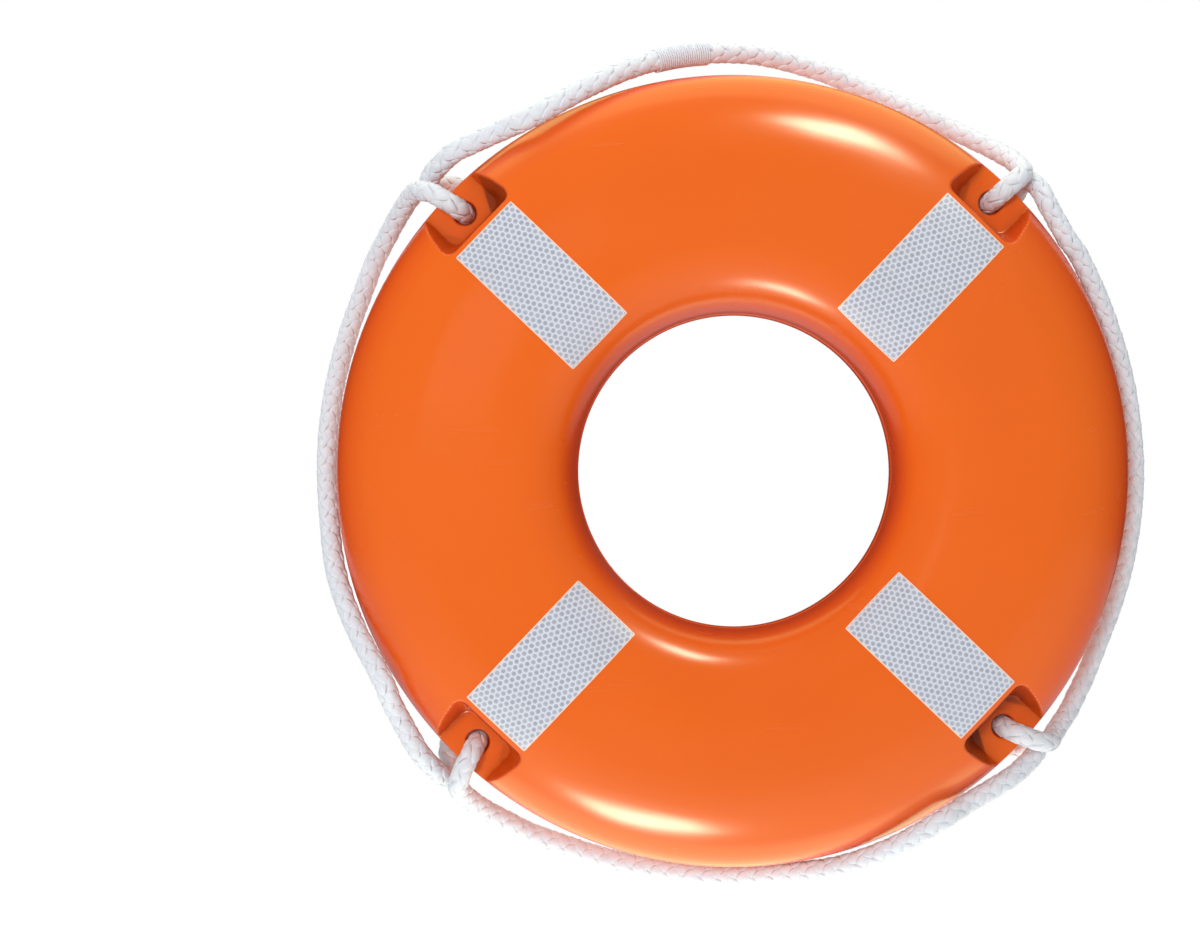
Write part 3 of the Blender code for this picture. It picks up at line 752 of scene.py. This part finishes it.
def sweep(bm, centres, frames, sides, half_out, half_across, uv_layer, depth_layer, depths):
    """A closed tube through centres with an oval section, UV in metres along and round it."""
    rings = []
    for centre, (out, across), size, wide, depth in zip(centres, frames, half_out, half_across, depths):
        ring = []
        for side in range(sides):
            turn = 2 * math.pi * side / sides
            vert = bm.verts.new(centre + out * (math.cos(turn) * size) + across * (math.sin(turn) * wide))
            vert[depth_layer] = depth
            ring.append(vert)
        rings.append(ring)
    run = 0.0
    for index in range(len(rings) - 1):
        step = (centres[index + 1] - centres[index]).length
        for side in range(sides):
            corners = (rings[index][side], rings[index][(side + 1) % sides],
                       rings[index + 1][(side + 1) % sides], rings[index + 1][side])
            made = bm.faces.new(corners)
            low, high = side / sides, (side + 1) / sides
            spread = ((run, low), (run, high), (run + step, high), (run + step, low))
            for loop, uv in zip(made.loops, spread):
                loop[uv_layer].uv = uv
        run += step
    bm.faces.new(rings[0][::-1])
    bm.faces.new(rings[-1])


def braid_rope(material):
    """The braided line: strands of both hands that pass over and under each other round a core."""
    line = rope_centreline()
    frames = carried_frames(line)
    length = sum((b - a).length for a, b in zip(line, line[1:]))
    bm = bmesh.new()
    uv_layer = bm.loops.layers.uv.new("strand_uv")
    depth_layer = bm.verts.layers.float.new("depth")
    wobble = random.Random(STRAND_SEED)
    weave = BRAID_PITCH / BRAID_CARRIERS
    spots = [index * length / (len(line) - 1) for index in range(len(line))]
    for hand in (1, -1):
        for carrier in range(BRAID_CARRIERS):
            swing = wobble.uniform(0, 2 * math.pi)
            centres, ovals, halves_out, halves_across, depths = [], [], [], [], []
            for spot, point, (_, normal, binormal) in zip(spots, line, frames):
                over = hand * math.cos(2 * math.pi * spot / weave)
                turn = hand * 2 * math.pi * spot / BRAID_PITCH + carrier * math.pi * 2 / BRAID_CARRIERS
                turn += TURN_WANDER * math.sin(spot * TURN_WANDER_RATE + swing)
                out = normal * math.cos(turn) + binormal * math.sin(turn)
                lift = LIFT_WANDER * math.sin(spot * LIFT_WANDER_RATE + swing * 2)
                centres.append(point + out * (STRAND_CIRCLE + STRAND_WAVE * over + lift))
                ovals.append(out)
                puff = 1 + STRAND_PUFF * over
                puff += PUFF_WANDER * math.sin(spot * PUFF_WANDER_RATE + swing * 3)
                halves_out.append(STRAND_DEPTH / 2 * puff)
                halves_across.append(STRAND_WIDTH / 2 * puff)
                # How far under the crossing strands this one lies, for the painted shade in the pits
                depths.append(0.5 - 0.5 * over)
            last = len(centres) - 1
            axes = []
            for index, out in enumerate(ovals):
                along = (centres[min(index + 1, last)] - centres[max(index - 1, 0)]).normalized()
                axes.append((out, along.cross(out).normalized()))
            sweep(bm, centres, axes, STRAND_SIDES, halves_out, halves_across, uv_layer, depth_layer, depths)
    core_axes = [(normal, binormal) for _, normal, binormal in frames]
    count = len(line)
    # The core gets full depth, so between the strands it shows the painted pit shade
    sweep(bm, line, core_axes, STRAND_SIDES, [CORE_RADIUS] * count, [CORE_RADIUS] * count, uv_layer,
          depth_layer, [1.0] * count)
    bmesh.ops.recalc_face_normals(bm, faces=bm.faces)
    cads = [f"rope_hitch_{place}" for place in LUG_ANGLES] + [f"rope_bight_{name}" for name in BIGHT_ENDS]
    rope = finish_piece("grab_line_braid", bm, material, cads)
    return rope, line, length


def wind_whipping(line, material):
    """The twine wound over the join: both ends of the line lie under it."""
    half = WHIPPING_LENGTH / 2
    count = round(half / ROPE_STEP) + WHIPPING_SPARE_POINTS
    core = line[-count:-1] + line[:count]
    frames = carried_frames(core)
    spots = [0.0]
    for first, second in zip(core, core[1:]):
        spots.append(spots[-1] + (second - first).length)
    turns = WHIPPING_LENGTH / TWINE_PITCH
    steps = round(turns * TWINE_STEPS)
    centres, axes = [], []
    for index in range(steps + 1):
        spot = (spots[-1] - WHIPPING_LENGTH) / 2 + WHIPPING_LENGTH * index / steps
        below = max(i for i, value in enumerate(spots) if value <= spot)
        below = min(below, len(spots) - 2)
        share = (spot - spots[below]) / (spots[below + 1] - spots[below])
        point = core[below].lerp(core[below + 1], share)
        normal = frames[below][1].lerp(frames[below + 1][1], share).normalized()
        tangent = frames[below][0].lerp(frames[below + 1][0], share).normalized()
        turn = 2 * math.pi * turns * index / steps
        out = normal * math.cos(turn) + tangent.cross(normal) * math.sin(turn)
        centres.append(point + out * (ROPE_RADIUS + TWINE_RADIUS))
        axes.append((out, tangent))
    bm = bmesh.new()
    uv_layer = bm.loops.layers.uv.new("strand_uv")
    depth_layer = bm.verts.layers.float.new("depth")
    size = [TWINE_RADIUS] * len(centres)
    sweep(bm, centres, axes, TWINE_SIDES, size, size, uv_layer, depth_layer, [TWINE_DEPTH] * len(centres))
    bmesh.ops.recalc_face_normals(bm, faces=bm.faces)
    return finish_piece("whipping_twine", bm, material, ["rope_whipping"])


# Materials

def new_group(name, inputs, outputs):
    """A node group with named inputs and outputs; each input is (name, socket type, default)."""
    group = bpy.data.node_groups.new(name, "ShaderNodeTree")
    for label, kind, default in inputs:
        socket = group.interface.new_socket(label, in_out="INPUT", socket_type=kind)
        if default is not None:
            socket.default_value = default
    for label, kind in outputs:
        group.interface.new_socket(label, in_out="OUTPUT", socket_type=kind)
    return group, group.nodes.new("NodeGroupInput"), group.nodes.new("NodeGroupOutput")


def new_material(name):
    material = bpy.data.materials.new(name)
    material.use_nodes = True
    nodes, links = material.node_tree.nodes, material.node_tree.links
    return material, nodes, links, nodes["Principled BSDF"]


def math_node(nodes, links, operation, first, second=None):
    """A Math node whose operands are sockets or numbers."""
    node = nodes.new("ShaderNodeMath")
    node.operation = operation
    for index, value in enumerate((first, second)):
        if isinstance(value, (int, float)):
            node.inputs[index].default_value = value
        elif value is not None:
            links.new(value, node.inputs[index])
    return node.outputs[0]


def mapped(nodes, links, value, low, high, to_low=0.0, to_high=1.0):
    node = nodes.new("ShaderNodeMapRange")
    node.inputs["From Min"].default_value = low
    node.inputs["From Max"].default_value = high
    node.inputs["To Min"].default_value = to_low
    node.inputs["To Max"].default_value = to_high
    links.new(value, node.inputs["Value"])
    return node.outputs[0]


def mixed(nodes, links, share, first, second):
    """A colour mix by a mask; first and second are sockets or colours."""
    node = nodes.new("ShaderNodeMix")
    node.data_type = "RGBA"
    links.new(share, node.inputs["Factor"])
    for socket, value in ((node.inputs[6], first), (node.inputs[7], second)):
        if isinstance(value, tuple):
            socket.default_value = (*value, 1.0)
        else:
            links.new(value, socket)
    return node.outputs[2]


def tinted(nodes, links, colour, mask, strength, tint):
    """The colour with a tint laid over it where a mask is high."""
    return mixed(nodes, links, math_node(nodes, links, "MULTIPLY", mask, strength), colour, tint)


def attribute(nodes, name):
    node = nodes.new("ShaderNodeAttribute")
    node.attribute_name = name
    return node.outputs["Fac"]


def noise(nodes, links, vector, scale, detail=2.0):
    node = nodes.new("ShaderNodeTexNoise")
    node.inputs["Scale"].default_value = scale
    node.inputs["Detail"].default_value = detail
    links.new(vector, node.inputs["Vector"])
    return node.outputs["Fac"]


def bumped(nodes, links, height, distance):
    node = nodes.new("ShaderNodeBump")
    node.inputs["Distance"].default_value = distance
    node.inputs["Strength"].default_value = 1.0
    links.new(height, node.inputs["Height"])
    return node.outputs["Normal"]


def wear_group():
    """Faint soil in patches and fine hairline scuffs, for any surface that is handled."""
    group, inputs, outputs = new_group(
        "handling_wear",
        [("Place", "NodeSocketVector", None), ("Patch Scale", "NodeSocketFloat", 14.0),
         ("Scuff Scale", "NodeSocketFloat", 60.0)],
        [("Patches", "NodeSocketFloat"), ("Scuffs", "NodeSocketFloat")])
    nodes, links = group.nodes, group.links
    patch = nodes.new("ShaderNodeTexNoise")
    patch.inputs["Detail"].default_value = 4.0
    links.new(inputs.outputs["Place"], patch.inputs["Vector"])
    links.new(inputs.outputs["Patch Scale"], patch.inputs["Scale"])
    links.new(mapped(nodes, links, patch.outputs["Fac"], 0.42, 0.68), outputs.inputs["Patches"])
    stretch = nodes.new("ShaderNodeMapping")
    stretch.inputs["Rotation"].default_value = (0.4, 0.9, 0.7)
    stretch.inputs["Scale"].default_value = (1.0, 14.0, 14.0)
    links.new(inputs.outputs["Place"], stretch.inputs["Vector"])
    scratch = nodes.new("ShaderNodeTexNoise")
    scratch.inputs["Detail"].default_value = 3.0
    links.new(stretch.outputs[0], scratch.inputs["Vector"])
    links.new(inputs.outputs["Scuff Scale"], scratch.inputs["Scale"])
    links.new(mapped(nodes, links, scratch.outputs["Fac"], 0.66, 0.74), outputs.inputs["Scuffs"])
    return group


def place_wear(nodes, links, group, place, patch_scale, scuff_scale):
    node = nodes.new("ShaderNodeGroup")
    node.node_tree = group
    links.new(place, node.inputs["Place"])
    node.inputs["Patch Scale"].default_value = patch_scale
    node.inputs["Scuff Scale"].default_value = scuff_scale
    return node.outputs["Patches"], node.outputs["Scuffs"]


def shell_material(wear):
    """Glossy moulded orange: colour drift, painted shade where it turns away from the camera, soil patches,
    painted shade deep in the pockets and in their corners, peel and hairline scuffs.
    """
    material, nodes, links, shader = new_material("moulded_orange")
    place = nodes.new("ShaderNodeTexCoord").outputs["Object"]
    patches, scuffs = place_wear(nodes, links, wear, place, *SHELL_WEAR_SCALES)
    drift = noise(nodes, links, place, SHELL_DRIFT_SCALE)
    colour = mixed(nodes, links, mapped(nodes, links, drift, *NOISE_RANGE), SHELL_ORANGE,
                   SHELL_PALE_ORANGE)
    colour = tinted(nodes, links, colour, patches, SHELL_PATCH_SHARE, SHELL_PATCH)
    # Painted shade: a deeper, darker orange where the surface turns away from the camera
    facing = nodes.new("ShaderNodeLayerWeight")
    facing.inputs["Blend"].default_value = 0.5
    edge_shade = mapped(nodes, links, facing.outputs["Facing"], *EDGE_SHADE_RANGE, 0.0,
                         EDGE_SHADE_SHARE)
    colour = mixed(nodes, links, edge_shade, colour, SHELL_EDGE_SHADE)
    # Painted shade: the orange darkens the deeper a point lies in a pocket
    colour = tinted(nodes, links, colour, attribute(nodes, "pocket"), POCKET_PAINTED_SHADE_SHARE, POCKET_PAINTED_SHADE)
    # Painted shade in the pockets' corners and painted shadow in wedges on their walls
    colour = tinted(nodes, links, colour, attribute(nodes, "pocket_painted_shade"), CORNER_TINT_SHARE,
                    CORNER_PAINTED_SHADE)
    links.new(colour, shader.inputs["Base Color"])
    rough = mapped(nodes, links, patches, 0.0, 1.0, *SHELL_ROUGHNESS)
    rough = math_node(nodes, links, "ADD", rough,
                      math_node(nodes, links, "MULTIPLY", scuffs, SHELL_SCUFF_ROUGHNESS))
    links.new(rough, shader.inputs["Roughness"])
    peel = noise(nodes, links, place, SHELL_PEEL_SCALE)
    waves = noise(nodes, links, place, SHELL_WAVE_SCALE, 1.0)
    height = math_node(nodes, links, "ADD", math_node(nodes, links, "MULTIPLY", peel, PEEL_HEIGHT),
                       math_node(nodes, links, "MULTIPLY", waves, WAVE_HEIGHT))
    height = math_node(nodes, links, "SUBTRACT", height,
                       math_node(nodes, links, "MULTIPLY", scuffs, SCUFF_DEPTH))
    links.new(bumped(nodes, links, height, SHELL_RELIEF), shader.inputs["Normal"])
    shader.inputs["IOR"].default_value = SHELL_IOR
    return material


def honeycomb_group():
    """Hexagon cells: how far out in its cell a point lies, 1 at the edge, and a tone that varies."""
    group, inputs, outputs = new_group(
        "honeycomb", [("Map", "NodeSocketVector", None), ("Cell", "NodeSocketFloat", TAPE_CELL)],
        [("Outward", "NodeSocketFloat"), ("Cell Tone", "NodeSocketFloat")])
    nodes, links = group.nodes, group.links
    split = nodes.new("ShaderNodeSeparateXYZ")
    links.new(inputs.outputs["Map"], split.inputs[0])
    across = math_node(nodes, links, "DIVIDE", split.outputs[1], inputs.outputs["Cell"])
    along = math_node(nodes, links, "DIVIDE", split.outputs[0], inputs.outputs["Cell"])
    row = math.sqrt(3)
    cells = []
    for shift_x, shift_y in ((0.0, 0.0), (0.5, row / 2)):
        x = math_node(nodes, links, "SUBTRACT",
                      math_node(nodes, links, "FLOORED_MODULO",
                                math_node(nodes, links, "ADD", across, shift_x), 1.0), 0.5)
        y = math_node(nodes, links, "SUBTRACT",
                      math_node(nodes, links, "FLOORED_MODULO",
                                math_node(nodes, links, "ADD", along, shift_y), row), row / 2)
        x = math_node(nodes, links, "ABSOLUTE", x)
        y = math_node(nodes, links, "ABSOLUTE", y)
        slanted = math_node(nodes, links, "ADD", math_node(nodes, links, "MULTIPLY", x, 0.5),
                            math_node(nodes, links, "MULTIPLY", y, row / 2))
        cells.append(math_node(nodes, links, "MAXIMUM", x, slanted))
    nearest = math_node(nodes, links, "MINIMUM", cells[0], cells[1])
    links.new(math_node(nodes, links, "MULTIPLY", nearest, 2.0), outputs.inputs["Outward"])
    links.new(noise(nodes, links, inputs.outputs["Map"], TAPE_TONE_SCALE, 1.0),
              outputs.inputs["Cell Tone"])
    return group


def tape_material(honeycomb, wear, length):
    """Silver reflective film: grey cells in a pale sealed net, with a sealed edge all round."""
    material, nodes, links, shader = new_material("silver_honeycomb")
    chart = nodes.new("ShaderNodeUVMap")
    chart.uv_map = "tape_uv"
    comb = nodes.new("ShaderNodeGroup")
    comb.node_tree = honeycomb
    comb.inputs["Cell"].default_value = TAPE_CELL
    links.new(chart.outputs["UV"], comb.inputs["Map"])
    outward = comb.outputs["Outward"]
    line = mapped(nodes, links, outward, *TAPE_NET_RANGE)
    core = mapped(nodes, links, outward, *TAPE_CORE_RANGE, 1.0, 0.0)
    tone = mapped(nodes, links, comb.outputs["Cell Tone"], *NOISE_RANGE)
    cell = mixed(nodes, links, tone, TAPE_CELL_DARK, TAPE_CELL_PALE)
    darkness = mapped(nodes, links, comb.outputs["Cell Tone"], *TAPE_CORE_TONES, *TAPE_CORE_SHARES)
    cell = tinted(nodes, links, cell, core, darkness, TAPE_CELL_CORE)
    colour = mixed(nodes, links, line, cell, TAPE_NET)
    split = nodes.new("ShaderNodeSeparateXYZ")
    links.new(chart.outputs["UV"], split.inputs[0])
    end_way = math_node(nodes, links, "ABSOLUTE",
                        math_node(nodes, links, "SUBTRACT", split.outputs[0], length / 2))
    side_way = math_node(nodes, links, "ABSOLUTE", split.outputs[1])
    edge = math_node(nodes, links, "MAXIMUM",
                     math_node(nodes, links, "GREATER_THAN", end_way, length / 2 - TAPE_EDGE),
                     math_node(nodes, links, "GREATER_THAN", side_way, TAPE_WIDTH / 2 - TAPE_EDGE))
    colour = mixed(nodes, links, edge, colour, TAPE_SEAL)
    place = nodes.new("ShaderNodeTexCoord").outputs["Object"]
    patches, scuffs = place_wear(nodes, links, wear, place, *TAPE_WEAR_SCALES)
    colour = tinted(nodes, links, colour, patches, TAPE_SOIL_SHARE, TAPE_SOIL)
    links.new(colour, shader.inputs["Base Color"])
    rough = mapped(nodes, links, line, 0.0, 1.0, *TAPE_ROUGHNESS)
    rough = math_node(nodes, links, "ADD", rough,
                      math_node(nodes, links, "MULTIPLY", scuffs, TAPE_SCUFF_ROUGHNESS))
    links.new(rough, shader.inputs["Roughness"])
    links.new(mapped(nodes, links, line, 0.0, 1.0, TAPE_METALLIC, 0.0), shader.inputs["Metallic"])
    links.new(bumped(nodes, links, line, TAPE_RELIEF), shader.inputs["Normal"])
    return material


def fibre_group():
    """Fine fibres that run along a strand, and a finer fuzz on them."""
    group, inputs, outputs = new_group(
        "strand_fibres", [("Map", "NodeSocketVector", None), ("Count", "NodeSocketFloat", 26.0)],
        [("Fibres", "NodeSocketFloat"), ("Fuzz", "NodeSocketFloat")])
    nodes, links = group.nodes, group.links
    split = nodes.new("ShaderNodeSeparateXYZ")
    links.new(inputs.outputs["Map"], split.inputs[0])
    joined = nodes.new("ShaderNodeCombineXYZ")
    links.new(math_node(nodes, links, "MULTIPLY", split.outputs[0], FIBRE_SCALE), joined.inputs[0])
    links.new(math_node(nodes, links, "MULTIPLY", split.outputs[1], inputs.outputs["Count"]),
              joined.inputs[1])
    links.new(noise(nodes, links, joined.outputs[0], 1.0, 3.0), outputs.inputs["Fibres"])
    links.new(noise(nodes, links, joined.outputs[0], 4.0, 1.0), outputs.inputs["Fuzz"])
    return group


def cord_material(name, fibres, wear, count):
    """White braid or twine: soft fibres, with painted shade in the pits between the strands."""
    material, nodes, links, shader = new_material(name)
    chart = nodes.new("ShaderNodeUVMap")
    chart.uv_map = "strand_uv"
    strand = nodes.new("ShaderNodeGroup")
    strand.node_tree = fibres
    strand.inputs["Count"].default_value = count
    links.new(chart.outputs["UV"], strand.inputs["Map"])
    colour = mixed(nodes, links, mapped(nodes, links, strand.outputs["Fibres"], *NOISE_RANGE),
                   CORD_SHADE, CORD_LIGHT)
    # Painted shade in the pits: darker where a strand passes under another, and on the core
    low = mapped(nodes, links, attribute(nodes, "depth"), *CORD_PIT_SHADE_RANGE, 0.0, CORD_PIT_SHADE_SHARE)
    colour = mixed(nodes, links, low, colour, CORD_PIT_SHADE)
    place = nodes.new("ShaderNodeTexCoord").outputs["Object"]
    patches, _ = place_wear(nodes, links, wear, place, *CORD_WEAR_SCALES)
    colour = tinted(nodes, links, colour, patches, CORD_SOIL_SHARE, CORD_SOIL)
    links.new(colour, shader.inputs["Base Color"])
    links.new(mapped(nodes, links, strand.outputs["Fuzz"], *NOISE_RANGE, *CORD_ROUGHNESS),
              shader.inputs["Roughness"])
    links.new(bumped(nodes, links, strand.outputs["Fibres"], CORD_RELIEF), shader.inputs["Normal"])
    shader.inputs["Sheen Weight"].default_value = CORD_SHEEN
    return material


def foam_material():
    """Rigid foam, hidden in the shell: cream with fine cells."""
    material, nodes, links, shader = new_material("cream_foam")
    place = nodes.new("ShaderNodeTexCoord").outputs["Object"]
    cells = noise(nodes, links, place, FOAM_CELL_SCALE)
    links.new(mixed(nodes, links, mapped(nodes, links, cells, *FOAM_TONES), FOAM_DARK, FOAM_PALE),
              shader.inputs["Base Color"])
    links.new(mapped(nodes, links, cells, *NOISE_RANGE, *FOAM_ROUGHNESS), shader.inputs["Roughness"])
    links.new(bumped(nodes, links, cells, FOAM_RELIEF), shader.inputs["Normal"])
    return material


def build_scene():
    wear = wear_group()
    honeycomb = honeycomb_group()
    fibres = fibre_group()
    place_camera()
    rope, line, length = braid_rope(cord_material("white_braid", fibres, wear, BRAID_FIBRES))
    whipping = wind_whipping(line, cord_material("white_twine", fibres, wear, TWINE_FIBRES))
    build_shells(shell_material(wear))
    build_tapes(lambda tape_length: tape_material(honeycomb, wear, tape_length))
    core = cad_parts["foam_core"]
    core.data.materials.clear()
    core.data.materials.append(foam_material())
    light_stage()
    lay_floor()
    bpy.context.scene.view_settings.view_transform = "Standard"


build_scene()
